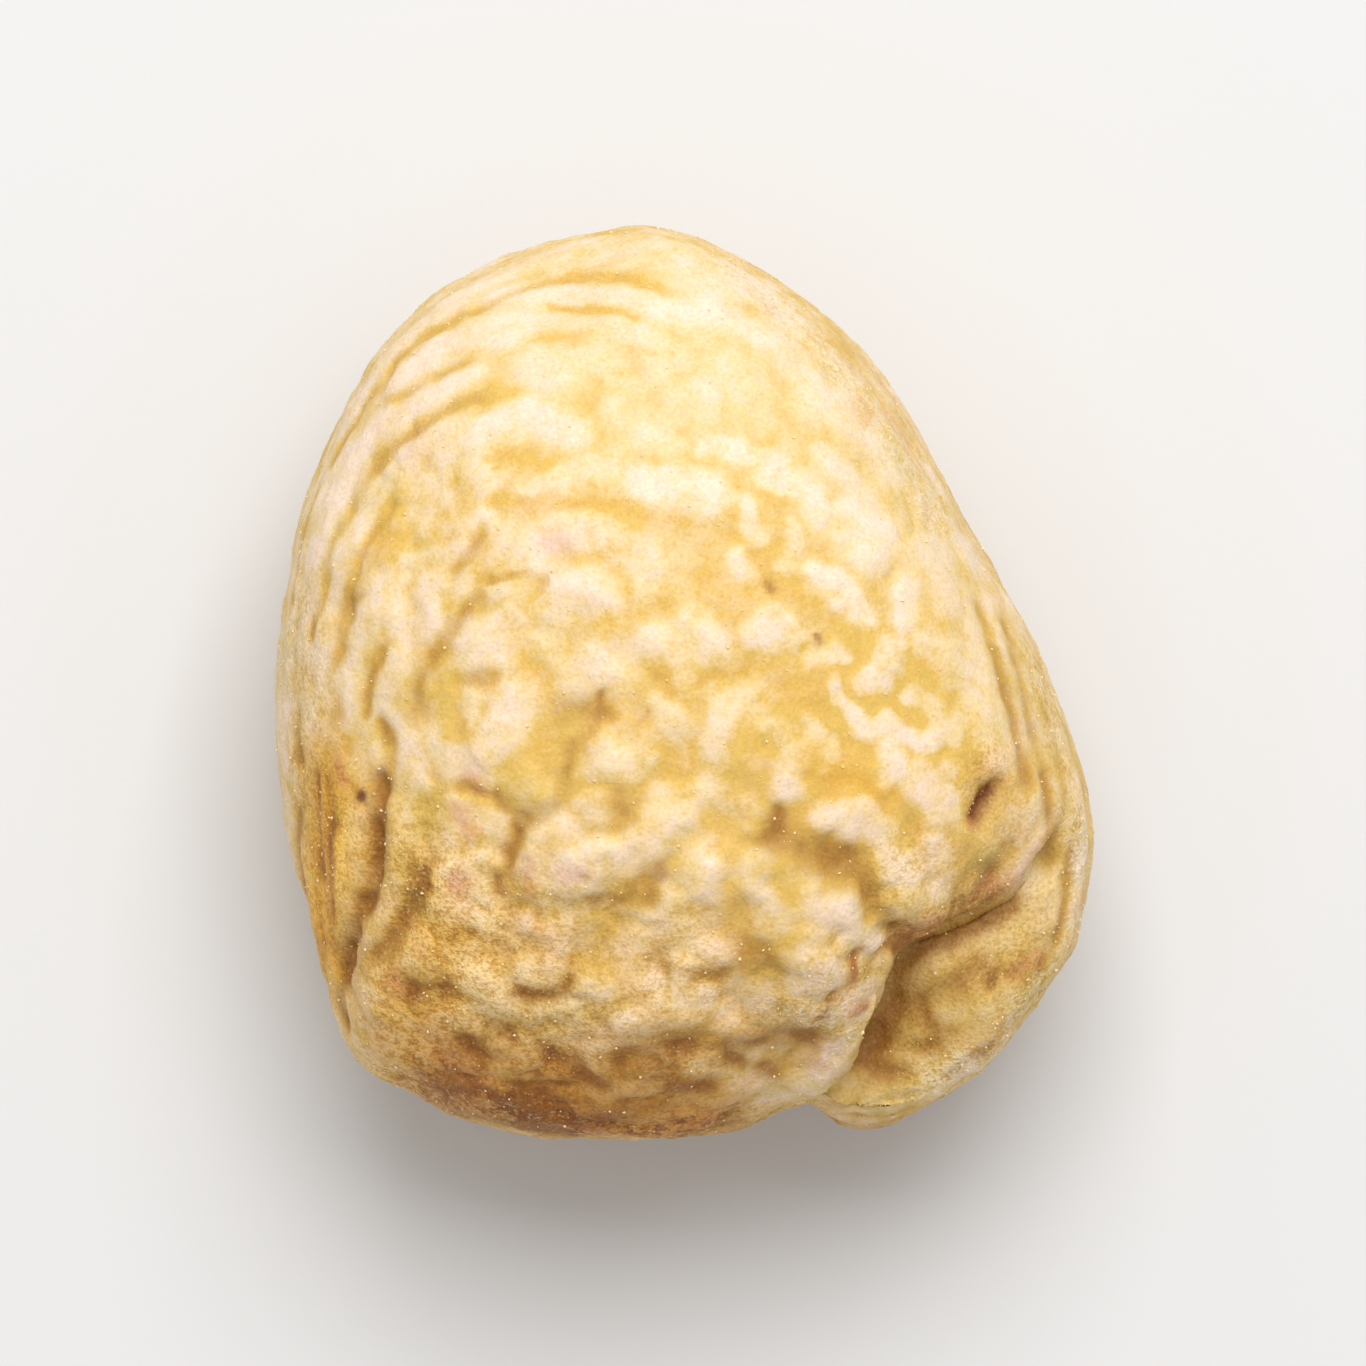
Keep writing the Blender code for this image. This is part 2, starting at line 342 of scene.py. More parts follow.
# Wrinkles that show from above, as the crest lines of low hills in photo pixels:
# half the width, how pale it is from 0 to 1, and the x,y of each point
HILLS = (
    # Strands of the left edge
    (4.5, 0.6, 654,760, 647,738, 642,715, 639,690), (4.5, 0.6, 639,688, 638,665, 640,640, 642,615),
    (4.2, 0.8, 643,606, 647,586, 652,571, 659,553, 667,536),
    (4.5, 0.9, 668,534, 675,522, 683,511, 694,500, 706,491),
    (4.5, 0.85, 709,489, 724,481, 742,474, 760,469), (5.5, 0.6, 764,470, 784,471, 802,477, 816,484),
    (4, 0.6, 648,662, 647,640, 648,622, 650,605),
    (4.2, 0.95, 650,601, 653,586, 659,571, 667,555, 677,543),
    (4.2, 0.85, 680,541, 690,534, 702,528, 715,521), (4, 0.7, 655,655, 655,635, 658,619),
    (4.2, 0.85, 661,606, 665,591, 671,577, 680,563, 690,554),
    (4.5, 0.95, 664,657, 664,642, 668,630, 674,619),
    (5, 0.9, 676,617, 682,605, 690,596, 700,591, 708,588), (4, 0.55, 642,715, 641,695, 642,672),
    (3.5, 0.5, 653,757, 649,735, 646,712), (3.5, 0.55, 648,705, 648,688, 650,668),
    (3.5, 0.5, 659,752, 655,730, 654,708, 655,684), (5, 0.7, 665,742, 665,722, 666,700),
    (4.5, 0.5, 663,690, 661,674), (4.5, 0.5, 674,681, 674,668, 671,657),
    (5, 0.65, 674,768, 676,750, 679,735), (5, 0.65, 681,728, 683,712, 684,702),
    # Crown end
    (4.5, 1, 727,489, 745,487, 762,490, 778,494, 790,498),
    (4.5, 0.75, 709,507, 716,506, 734,500, 755,499, 774,503, 788,509),
    (5, 1, 687,523, 692,519, 698,515), (4, 0.9, 716,505, 727,506),
    (4.5, 0.55, 693,551, 702,544, 711,541), (6.5, 1, 716,546, 724,541, 735,539, 748,542, 757,546),
    (4, 0.6, 690,569, 696,565), (4, 0.6, 704,560, 700,566), (9, 0.8, 737,520, 744,522),
    (5, 0.6, 757,514, 768,518, 775,523), (5, 0.7, 769,530, 770,541), (4.5, 0.85, 703,553, 705,554),
    (5, 0.7, 715,558, 722,566), (5, 0.65, 738,569, 748,563, 758,559, 770,556),
    (5.5, 1, 782,561, 782,570), (10, 0.95, 797,566, 806,570),
    (5, 0.75, 808,549, 820,553, 830,556), (6, 1, 832,558, 840,564, 847,571),
    (5, 0.9, 852,555, 861,562, 868,571), (8, 1, 866,580, 874,586, 870,594),
    (6, 0.8, 853,578, 862,584), (5.5, 1, 825,577, 826,584), (4.5, 0.8, 818,592, 820,599),
    (5, 0.85, 840,585, 838,597), (5, 1, 848,597, 857,605, 866,613, 870,619),
    (5, 0.9, 885,605, 884,619), (5, 0.6, 893,590, 899,601, 904,612), (4, 0.9, 905,585, 910,593),
    (5, 0.75, 792,480, 805,487, 815,491), (5.5, 0.95, 800,497, 812,500, 824,505),
    (6, 0.65, 834,506, 842,518, 850,529, 862,539, 874,548), (7, 0.55, 785,520, 795,518),
    (8, 0.5, 795,535, 805,530), (7, 0.55, 818,520, 825,528), (6, 0.5, 784,545, 795,548),
    (4.5, 0.9, 716,580, 722,582), (4.5, 0.5, 692,574, 702,570), (5, 0.55, 697,582, 706,580),
    (4, 0.7, 730,585, 724,592),
    # Middle
    (7.5, 0.95, 735,602, 739,592, 748,586, 760,584, 772,587, 780,594, 785,603),
    (12, 1, 753,609, 761,609), (5.5, 0.8, 683,605, 682,614), (6.5, 0.85, 698,605, 697,621),
    (5, 0.75, 711,600, 711,609), (9, 0.8, 729,611, 732,615), (12.5, 0.85, 716,626, 718,632),
    (5, 0.75, 688,622, 686,630), (7, 0.75, 698,644, 703,646), (7, 0.9, 684,636, 681,643),
    (4, 1, 677,653, 681,658), (7, 0.75, 692,667, 690,680), (6.5, 0.55, 684,694, 686,699),
    (10, 0.95, 732,651, 727,658, 723,668), (5, 0.75, 712,673, 721,682), (9, 0.35, 736,685, 740,688),
    (5, 0.6, 712,650, 712,656), (6, 0.5, 703,662, 705,674), (10, 0.95, 767,634, 770,643),
    (6.5, 0.75, 754,640, 755,648), (6, 0.5, 742,627, 749,631), (9, 0.85, 786,628, 792,630),
    (9, 0.85, 803,622, 808,628), (8, 0.9, 829,623, 839,627), (11, 0.95, 765,672, 774,674),
    (7, 0.7, 763,690, 768,689), (7, 0.75, 790,655, 795,663), (8, 0.9, 814,657, 811,668),
    (6, 0.6, 800,643, 812,647, 824,650), (5, 0.7, 833,661, 838,668), (7, 0.7, 806,686, 813,689),
    (6, 0.7, 838,680, 837,689), (7, 0.6, 822,692, 826,702), (9.5, 0.9, 780,707, 787,702, 796,696),
    (7.5, 0.9, 744,702, 751,701), (9, 1, 758,713, 765,711), (6, 0.6, 716,704, 724,701),
    (5.5, 0.6, 704,702, 708,691), (6, 0.75, 708,716, 714,715), (6, 0.6, 721,716, 717,727),
    (6, 0.5, 702,738, 706,728), (6, 0.6, 738,711, 740,727), (7, 0.8, 752,722, 761,723),
    (9.5, 0.95, 803,714, 809,722), (7.5, 0.8, 789,735, 798,729),
    (7, 0.75, 828,714, 826,723, 829,732), (6, 0.45, 742,742, 752,740, 760,738),
    (6.5, 0.6, 776,752, 787,745, 797,740), (7.5, 0.85, 797,752, 807,749),
    # Right side
    (7.5, 1, 873,643, 876,637, 880,631), (5, 1, 858,645, 861,653, 867,660, 873,661),
    (5, 1, 888,648, 895,652, 898,660, 892,666, 883,663, 877,659), (6.5, 1, 901,632, 905,640),
    (5, 0.9, 892,628, 897,631), (4, 0.8, 909,645, 908,656, 902,664),
    (7, 1, 878,671, 884,680, 890,687, 895,694), (5, 0.95, 890,676, 897,679, 901,676),
    (5.5, 0.9, 896,687, 902,685), (5.5, 0.85, 848,664, 851,672, 856,670),
    (6, 0.7, 841,672, 841,684), (5.5, 0.85, 849,636, 857,633), (6, 0.8, 854,699, 860,695, 863,702),
    (5.5, 0.9, 867,692, 873,700), (5.5, 0.85, 877,696, 876,706, 881,714, 888,719),
    (6, 0.9, 895,708, 900,716, 899,726), (10, 0.6, 886,728, 893,735), (3.5, 0.45, 907,722, 904,736),
    (3.5, 0.4, 913,722, 912,732), (6, 0.55, 917,704, 919,709),
    (4.5, 0.7, 922,676, 927,688, 926,701), (4, 0.55, 925,724, 934,714, 942,703),
    (4, 0.75, 927,612, 935,634, 942,650, 949,668, 955,690, 956,712),
    (3.5, 0.55, 919,612, 927,634, 934,656, 941,680, 944,702),
    (3.5, 0.55, 912,618, 918,640, 925,662, 932,684, 934,700), (4, 0.5, 911,634, 913,648),
    (5, 0.6, 915,655, 918,668), (5, 0.5, 903,695, 908,703),
    # Folded end
    (6, 1, 849,729, 857,735, 864,741, 870,746), (9, 1, 847,752, 852,757),
    (6, 0.95, 842,762, 850,763), (6, 0.6, 836,768, 845,773, 853,772), (6, 0.7, 826,738, 834,740),
    (6.5, 1, 803,749, 809,749), (6.5, 1, 798,758, 802,765), (5, 0.85, 784,761, 786,767),
    (7, 0.9, 758,760, 765,762), (5, 0.8, 773,749, 775,756), (8.5, 0.95, 717,760, 722,768),
    (6, 0.75, 735,757, 743,755), (6, 0.7, 738,741, 746,748), (5, 0.6, 738,776, 746,774, 753,771),
    (7, 0.75, 775,776, 788,772, 800,772), (6, 0.7, 822,762, 828,768),
    (4.5, 0.9, 814,776, 820,783, 825,791), (5.5, 0.85, 762,788, 767,794),
    (4.5, 0.9, 764,804, 774,802, 786,799), (3.5, 0.8, 803,794, 808,797),
    (3.5, 0.8, 813,798, 815,801), (3.5, 0.7, 806,805, 812,808), (4.5, 1, 820,801, 828,802),
    (3.5, 1, 832,804, 835,808), (5, 0.95, 869,776, 863,785, 855,796, 847,804),
    (4, 0.95, 858,776, 863,770, 870,765, 878,765), (5, 0.5, 775,811, 790,810),
    (5, 0.6, 733,787, 738,793), (5, 0.5, 752,783, 758,779), (4, 0.45, 717,795, 724,797),
    (6, 0.7, 690,752, 694,748), (5, 0.65, 700,780, 712,777), (6, 0.7, 700,733, 710,733, 720,736),
    (5, 0.6, 706,752, 712,750), (5, 0.35, 668,795, 680,801, 694,806),
    (5, 0.5, 660,771, 664,781, 672,789), (5, 0.55, 684,777, 690,785, 694,793),
    (5, 0.5, 676,770, 680,782, 686,790), (4, 0.25, 706,812, 722,816, 742,819),
    (4, 0.25, 752,821, 776,822, 800,819),
    # Low lobe
    (8, 0.8, 914,748, 926,740, 938,729), (4, 0.6, 947,716, 950,704),
    (3.5, 0.85, 956,706, 955,725, 950,742, 944,756), (4.5, 1, 900,773, 908,773, 917,771, 925,768),
    (3, 0.7, 900,766, 906,765), (4, 0.8, 934,764, 941,752),
    (4, 0.75, 931,776, 922,786, 910,796, 898,804), (3.5, 0.6, 922,777, 913,785, 903,789),
    (3.5, 0.5, 888,803, 878,806), (3.5, 1, 891,796, 896,794), (3.5, 0.6, 893,757, 900,760),
    (3, 0.55, 885,760, 888,766), (3, 0.4, 864,802, 870,801), (3.5, 0.5, 884,781, 892,783),
    (3, 0.5, 887,773, 893,774),
)

# Furrows between them: half the width, the depth in mm, how brown it is from 0 to 1,
# and the x,y of each point
FURROWS = (
    (2.2, 0.13, 0.2, 642,612, 644,597, 649,576, 656,560, 664,546, 673,532, 681,524),
    (2.2, 0.1, 0.15, 681,524, 684,515, 692,508, 702,502, 714,497, 735,486, 755,481),
    (2.2, 0.07, 0.05, 755,481, 770,484, 785,488, 800,494),
    (2.2, 0.09, 0.15, 681,533, 690,529, 697,525, 707,519, 716,515),
    (2, 0.05, 0, 745,493, 762,496, 778,500),
    (2.2, 0.13, 0.25, 652,625, 656,609, 659,592, 665,575, 673,562, 682,551, 690,546),
    (2.2, 0.12, 0.25, 690,546, 698,540, 708,534, 720,530),
    (2.2, 0.13, 0.2, 662,632, 664,618, 668,602, 674,588, 682,574),
    (4.1, 0.1, 0.22, 660,655, 660,638, 665,618, 668,609),
    (2.4, 0.1, 0.35, 672,655, 675,640, 681,626),
    (3.6, 0.16, 0.45, 694,650, 697,640, 703,628, 710,617, 716,610),
    (2.7, 0.14, 0.4, 645,672, 646,656), (2.4, 0.14, 0.5, 652,720, 651,700, 652,680),
    (2.4, 0.14, 0.5, 658,745, 657,725, 657,700, 658,682),
    (2.2, 0.12, 0.5, 646,735, 644,715, 643,695),
    (4.2, 0.8, 1, 678,684, 677,694, 675,706, 674,716, 672,724, 669,736, 665,748, 662,759),
    (3, 0.4, 0.7, 662,759, 661,768, 664,778), (2.4, 0.12, 0.5, 678,660, 682,671, 681,683),
    (4, 0.22, 0.6, 694,722, 690,732, 685,741, 678,749, 670,753),
    (3, 0.15, 0.5, 766,650, 760,660, 753,671),
    (3.4, 0.35, 0.8, 753,671, 751,680, 748,688, 743,694, 735,698, 729,695, 725,690),
    (3, 0.3, 0.75, 735,698, 733,708, 730,716, 726,725), (3, 0.22, 0.6, 712,684, 718,688, 725,690),
    (3.4, 0.25, 0.65, 763,728, 775,728, 785,724), (3, 0.14, 0.4, 770,686, 776,694, 772,700),
    (3.5, 0.12, 0.25, 757,655, 770,657, 781,657), (5, 0.2, 0.8, 914,758, 920,760),
    (3, 0.15, 0.5, 899,766, 905,769, 912,767), (5, 0.2, 0.6, 868,787, 875,787, 880,783),
    (4, 0.15, 0.6, 870,796, 878,797, 884,797), (3, 0.15, 0.6, 893,768, 896,779, 903,781),
    (3, 0.12, 0.6, 887,789, 893,789, 900,786), (3, 0.12, 0.5, 880,752, 884,756, 890,751),
    (2.5, 0.12, 0.6, 882,770, 882,778), (2.5, 0.12, 0.5, 926,757, 932,760),
    (2.2, 0.15, 0.5, 953,712, 951,730, 946,745, 938,758),
    (2.2, 0.12, 0.45, 928,778, 917,789, 903,799), (2.7, 0.1, 0.2, 864,750, 862,759),
    (6, 0.3, 0.8, 793,786, 803,784, 811,785), (5.5, 0.22, 0.9, 824,783, 836,786, 848,786),
    (6, 0.3, 0.9, 775,791, 781,793, 788,794), (2.7, 0.2, 0.8, 812,787, 817,792, 822,795),
    (5.5, 0.12, 0.5, 815,745, 823,749, 830,750), (3.5, 0.12, 0.55, 804,759, 811,758),
    (3.2, 0.18, 0.6, 785,754, 791,755), (4, 0.22, 0.8, 691,765, 698,763, 704,765),
    (2.4, 0.1, 0.5, 706,746, 708,742), (3, 0.1, 0.5, 713,742, 716,740),
    (3.5, 0.2, 0.8, 731,765, 740,766, 747,766), (2.7, 0.2, 0.7, 751,763, 753,755),
    (2.2, 0.12, 0.6, 765,776, 768,778), (2.7, 0.2, 0.7, 756,800, 765,801),
    (4, 0.15, 0.8, 794,800, 800,801, 806,802), (5, 0.15, 0.9, 736,809, 748,810),
    (4, 0.12, 0.9, 737,813, 741,819, 750,821), (3, 0.2, 0.8, 711,786, 716,791),
    (2.5, 0.15, 0.7, 727,780, 729,784), (3, 0.2, 0.7, 741,789, 747,794),
    (4, 0.12, 0.7, 701,806, 708,802, 714,803), (4, 0.12, 0.8, 721,805, 728,810, 733,806),
    (2.7, 0.15, 0.6, 829,797, 834,799), (4.5, 0.12, 0.7, 765,815, 775,809, 792,809),
    (3, 0.15, 0.5, 855,766, 852,775), (3, 0.22, 0.45, 924,620, 930,645, 937,667, 942,690, 944,714),
    (2.7, 0.18, 0.4, 915,615, 922,640, 929,663, 934,682),
    (3.5, 0.08, 0.15, 788,643, 800,644, 820,642),
    (3.4, 0.07, 0.05, 735,573, 750,574, 762,572, 783,575),
    (3, 0.12, 0.35, 724,602, 733,604, 740,606), (3.5, 0.12, 0.15, 698,647, 710,644, 722,641),
    (3, 0.1, 0.3, 716,586, 712,592, 708,598), (5, 0.5, 0.7, 884,742, 877,733, 870,724),
    (7, 0.35, 0.45, 870,724, 860,714, 850,709, 840,707, 832,706), (4, 0.25, 0.8, 837,697, 836,702),
    (3.8, 0.85, 1, 915,696, 918,691, 922,685), (4.1, 0.3, 0.4, 916,717, 919,720),
    (3, 0.2, 0.4, 831,603, 834,607),
)

# Tints laid over the flesh: the strength from 0 to 1, the radius, and the x,y of each point. The
# tan, brown, ochre and olive rows that run along the fold's line, from about 865,795 up to 926,724,
# paint the fold's shadow
TINTS = {
    "tan": (
        (0.9, 24, 652,745, 653,720, 652,690), (0.3, 20, 648,660, 648,620),
        (0.85, 30, 690,780, 700,755, 690,725), (1, 22, 690,806, 730,817, 780,821, 830,816),
        (0.5, 32, 750,790, 800,785), (0.3, 30, 740,745, 790,755),
        (0.5, 16, 938,640, 948,670, 952,700), (0.5, 34, 890,775, 925,755),
        (0.6, 12, 890,740, 915,730), (0.6, 14, 926,700, 918,680), (0.35, 22, 850,770, 860,760),
        (0.6, 10, 884,736, 900,732, 915,724), (0.35, 16, 885,715, 905,722),
    ),
    # Painted shade: a brown multiply over the shaded bottom edge, the lower folded end and the fold
    "painted_shade": (
        (0.75, 26, 706,799, 735,805, 770,809, 800,811),
        (0.8, 24, 712,813, 735,819, 770,822, 800,820), (0.15, 12, 700,788, 716,782, 735,782),
        (0.4, 10, 748,796, 775,800), (0.6, 11, 886,743, 905,737, 925,727),
        (0.65, 12, 886,750, 880,765, 876,788), (0.2, 8, 910,758, 920,758),
        (0.25, 14, 888,786, 902,786), (0.2, 44, 735,762, 790,768, 845,775),
        (0.5, 9, 884,738, 900,734, 915,727),
    ),
    "olive": (
        (0.8, 34, 885,785, 925,755), (0.5, 6, 917,713, 919,719), (0.5, 14, 912,750, 932,738),
        (0.6, 9, 736,686, 741,688), (0.6, 7, 916,704, 919,712), (0.5, 12, 882,752, 895,752),
        (0.5, 5, 924,688, 922,695), (0.35, 9, 690,690, 700,700),
    ),
    "brown": (
        (0.25, 7, 752,655, 762,652), (0.7, 2.2, 752,669, 753,671), (0.35, 5, 667,611, 668,608),
        (0.4, 8, 712,788, 716,790), (0.7, 2.2, 744,766, 746,767),
        (0.38, 7.5, 835,706, 848,707, 860,714), (0.35, 5, 775,693, 776,694),
        (0.9, 2.5, 669.5,688, 670.5,688), (0.9, 4.5, 880,746, 893,746, 903,741, 915,736, 925,730),
        (0.7, 5, 886,751, 900,747, 914,741, 926,734), (0.4, 5, 884,741, 898,738, 912,731, 922,726),
        (0.3, 6, 876,775, 870,790), (0.55, 3.5, 880,772, 873,784, 865,794),
        (0.4, 5, 885,762, 887,773), (0.35, 10, 735,815, 760,815), (0.6, 5, 790,717, 791,718),
        (0.8, 2.2, 850,626, 851,629), (0.3, 2.6, 832,605, 833,607),
    ),
    "scar": (
        (0.9, 2.6, 915,696, 917,692, 921,686), (0.8, 2.6, 669.5,688, 670.5,688),
        (0.25, 2, 864,752, 864,756), (0.45, 2.5, 867,772, 870,771),
    ),
    "gold": (
        (0.8, 5, 918,697, 921,688), (0.6, 10, 834,706, 848,708, 862,716, 870,724),
        (1, 5, 830,601, 834,606), (0.4, 44, 750,680, 800,700), (0.52, 34, 875,650, 895,690),
        (0.25, 22, 850,572, 870,590), (0.9, 9, 848,672, 860,680, 876,686),
        (0.7, 4.5, 872,650, 873,652), (0.7, 4, 893,643, 893,644), (0.6, 4.5, 905,650, 905,660),
        (0.7, 5, 897,671, 902,671), (0.6, 5, 845,632, 850,650, 860,666), (0.5, 6, 826,664, 830,667),
        (0.5, 8, 804,575, 820,585, 840,600), (0.35, 5, 868,558, 876,572, 886,584),
        (0.6, 5, 724,529, 732,529), (0.5, 4, 742,506, 748,506), (0.6, 6, 728,556, 745,555),
        (0.6, 4, 755,596, 761,596), (0.6, 4.5, 699,646, 711,644, 722,641),
        (0.5, 4, 760,573, 780,575), (0.4, 6, 760,535, 762,545),
    ),
    "ochre": (
        (1, 26, 652,750, 654,720, 656,690), (0.35, 24, 690,780, 700,750),
        (0.7, 8, 882,746, 903,742, 922,732), (0.3, 34, 890,780, 925,755),
        (0.5, 26, 720,800, 760,808, 800,810), (0.4, 9, 848,672, 860,680, 876,686),
    ),
    "frost": (
        (0.7, 7, 956,705, 955,728, 949,747, 938,764, 925,779, 910,793),
        (0.7, 7, 864,783, 857,792, 850,799), (0.85, 20, 822,484, 850,508, 874,540, 896,575),
        (0.4, 14, 690,545, 700,545), (0.6, 12, 840,767, 852,775),
        (0.6, 14, 875,815, 905,803, 930,783, 945,762), (0.6, 9, 945,762, 955,740, 958,710),
        (0.6, 9, 838,497, 860,514, 874,530), (0.5, 12, 672,798, 700,808, 740,815),
        (0.8, 6, 820,800, 829,802), (0.4, 10, 640,650, 643,605, 652,565, 668,535),
        (0.4, 12, 860,512, 884,545, 905,585),
    ),
    "rosy": (
        (0.8, 4, 661,675, 663,681), (0.6, 4, 707,695, 714,703), (0.7, 4, 710,720, 711,724),
        (0.6, 5, 715,680, 718,684), (0.5, 4, 684,761, 686,764), (0.5, 3.5, 738,715, 739,727),
        (0.5, 4, 755,718, 760,716), (1, 2.2, 864,750, 863,759), (0.9, 3, 864,773, 871,769),
        (0.9, 3, 913,694, 912,699), (0.7, 4, 929,758, 938,752), (0.35, 9, 706,792, 716,800),
        (0.35, 5, 792,817, 804,815), (0.3, 7, 738,742, 744,748), (0.4, 5, 858,786, 850,797),
        (0.5, 3, 926,723, 934,713, 942,704), (0.5, 6, 889,734, 892,737),
        (0.45, 5, 915,725, 926,724), (0.4, 5, 747,589, 751,590),
    ),
    "milky": (
        (1, 34, 715,520, 760,535, 800,530), (1, 26, 840,520, 868,560, 890,600),
        (0.7, 26, 720,485, 780,485, 820,500), (0.6, 26, 830,585, 855,600),
        (0.6, 24, 655,600, 665,560, 685,530),
    ),
    "crisp": (
        (0.9, 26, 868,645, 885,670, 895,690), (0.3, 22, 840,580, 865,605),
        (0.6, 14, 850,700, 875,710), (0.5, 12, 852,740, 868,748),
    ),
}


PLACE_PASSES = 8
PLACE_ERROR = 0.3 * PIXEL
PLACE_SHIFT = 16.0 * PIXEL


def skin_place(wanted):
    """Places on the folded body that are seen from above at places on the plan.

    The fold draws its surroundings towards it, so the aim is moved back by what the
    fold moved the place, and this is done a few times over.
    """
    aim = wanted
    for _ in range(PLACE_PASSES):
        place = folded(way_over(aim))
        missed = wanted - place[:, :2]
        if np.abs(missed).max() < PLACE_ERROR:
            break
        aim = np.clip(aim + 0.7 * missed, wanted - PLACE_SHIFT, wanted + PLACE_SHIFT)
    return place


LINE_REACH = 2.4          # half widths from a line within which it is looked at


class Lines:
    """Wrinkle lines on the skin, cut into short straight runs.

    A run is held as its two ends, its half width, the size and shade of its line,
    and the number of that line.
    """

    def __init__(self):
        self.runs = []
        self.count = 0

    def add(self, places, half_width, size, shade):
        """Store one line, whose half width is one number or one for each run."""
        halves = np.broadcast_to(half_width, len(places) - 1)
        for start, end, half in zip(places[:-1], places[1:], halves):
            self.runs.append((*start, *end, half, size, shade, self.count))
        self.count += 1

    def spread(self, spots, rooms, fall=2.0):
        """How strongly lines cover each spot, and their mean size and shade there.

        A line's cover is exp(-(distance / half width) ** fall), and covers are joined
        as the cube root of the sum of their cubes, so that two lines side by side keep
        a valley between them. Spots are taken by rooms, and each room looks only at
        the runs within reach of it.
        """
        runs = np.array(self.runs)
        start, end = runs[:, :3], runs[:, 3:6]
        half, size, shade, line = runs[:, 6:].T
        middle, run = 0.5 * (start + end), end - start
        run_half = 0.5 * np.linalg.norm(run, axis=1)
        square = np.maximum(np.sum(run**2, axis=1), 1e-9)
        cover, bulk, tone = np.zeros((3, len(spots)))
        for members in rooms:
            here = spots[members]
            centre = here.mean(axis=0)
            room_half = np.linalg.norm(here - centre, axis=1).max()
            limit = run_half + room_half + LINE_REACH * half
            near = np.flatnonzero(np.linalg.norm(middle - centre, axis=1) < limit)
            if not len(near):
                continue
            offset = here[:, None, :] - start[None, near]
            along = np.clip(np.einsum("psi,si->ps", offset, run[near]) / square[near], 0.0, 1.0)
            gap = np.linalg.norm(offset - along[..., None] * run[None, near], axis=2) / half[near]
            _, heads = np.unique(line[near], return_index=True)
            weight = np.exp(-3.0 * np.minimum.reduceat(gap, heads, axis=1) ** fall)
            cover[members] = weight.sum(axis=1)
            bulk[members] = weight @ size[near][heads]
            tone[members] = weight @ shade[near][heads]
        total = np.maximum(cover, 1e-12)
        return np.cbrt(cover), bulk / total, tone / total


ROOM_SIDE = 3.0


def rooms_of(spots):
    """Row numbers of the spots in each cube of ROOM_SIDE."""
    _, room = np.unique(np.floor(spots / ROOM_SIDE).astype(int), axis=0, return_inverse=True)
    room = room.reshape(-1)
    order = np.argsort(room, kind="stable")
    return np.split(order, np.flatnonzero(np.diff(room[order])) + 1)


def slope_width(places, half_width, least=0.45):
    """Half width of each run of a level line whose width in pixels was read from above."""
    facing = np.maximum(body_outward(way_over(places))[:, 2], least)
    return half_width * PIXEL / (0.5 * (facing[:-1] + facing[1:]))


def warp(spots, strength):
    """Places moved a little by noise of two sizes, so that no outline stays smooth."""
    shift = 0.28 * np.stack([lattice_noise(spots, 1.2, seed) for seed in (3, 4, 5)], axis=1)
    shift += 0.2 * np.stack([lattice_noise(spots, 0.55, seed) for seed in (6, 7, 8)], axis=1)
    return spots + shift * strength[:, None]


x, y, z = kernel_spots.T
steepness = np.degrees(np.arccos(np.clip(body_outward(kernel_way)[:, 2], -1.0, 1.0)))
warped = warp(kernel_spots, 1.0 - 0.6 * blend_step(20.0, 45.0, steepness))
rooms = rooms_of(warped)

hills = Lines()
for half_width, paleness, *points in HILLS:
    places = plan(points)
    hills.add(skin_place(places), slope_width(places, half_width), half_width * PIXEL, paleness)
drawn, bulk, tone = hills.spread(warped, rooms)
drawn = np.clip(drawn, 0.0, 1.2)

furrows = Lines()
for half_width, depth, brown, *points in FURROWS:
    places = plan(points)
    furrows.add(skin_place(places), slope_width(places, half_width, 0.6), depth, brown)
cut, cut_depth, cut_brown = furrows.spread(warped, rooms)
breaks = blend_step(-0.6, 0.3, lattice_noise(kernel_spots, 0.9, 51))
cut = np.clip(cut, 0.0, 1.0) * (0.45 + 0.55 * breaks)


def lumps(spots, size, seed):
    """Rounded lumps from 0 to 1 with narrow creases between them.

    A lump is tanh(3 * |noise|), so a crease lies wherever the noise passes zero.
    """
    return np.tanh(3.0 * np.abs(lattice_noise(spots, size, seed)))


# Between the drawn hills the skin left lumps on the faces and level strands on the
# sides. A side starts where the body is 50 to 78 degrees from level, later in front.
lying = 0.65 * lumps(warped, 1.5, 63) + 0.35 * lumps(warped, 0.85, 64)
level_spots = warped * (0.28, 0.28, 1.0)
level = 0.6 * lumps(level_spots, 2.2, 61) + 0.4 * lumps(level_spots, 1.1, 62)
front_delay = 14.0 * blend_step(-5.0, -9.0, y) * blend_step(7.0, 10.0, z)
steep = blend_step(50.0, 78.0, steepness - front_delay) * blend_step(165.0, 130.0, steepness)
outer = np.maximum(blend_step(25.0, 60.0, steepness), 0.6 * blend_step(0.0, -10.0, y))
free = 1.0 - np.clip(drawn, 0.0, 1.0)
wild = (lying + (level - lying) * steep) * free * (0.35 + 0.5 * outer)

# Hills stand low on the smooth crown end and high towards the folded end, and below
# the widest part the level strands stand out by themselves
HILL_HEIGHT = 0.72
FURROW_SHARE = 0.7
STRAND_HEIGHT = 0.6
folded_end = np.maximum(blend_step(0.0, -10.0, y), 0.32 * blend_step(-7.0, -12.0, x))
boldness = 0.32 + 0.7 * folded_end
boldness += 0.15 * blend_step(22.0, 45.0, steepness) * blend_step(-2.0, 4.0, y)
boldness *= 1.0 - 0.3 * blend_step(-6.0, -10.0, x) * blend_step(-3.0, -8.0, y)
under = blend_step(9.5, 6.0, z)
relief = HILL_HEIGHT * boldness * (bulk * drawn + (0.6 - 0.3 * steep) * wild - 0.3)
relief -= FURROW_SHARE * cut * cut_depth
relief += STRAND_HEIGHT * under * (wild - 0.5)
relief += 0.05 * (0.5 - np.abs(lattice_noise(kernel_spots, 0.9, 31)))
relief += (0.02 + 0.03 * boldness) * lattice_noise(kernel_spots, 0.5, 34)
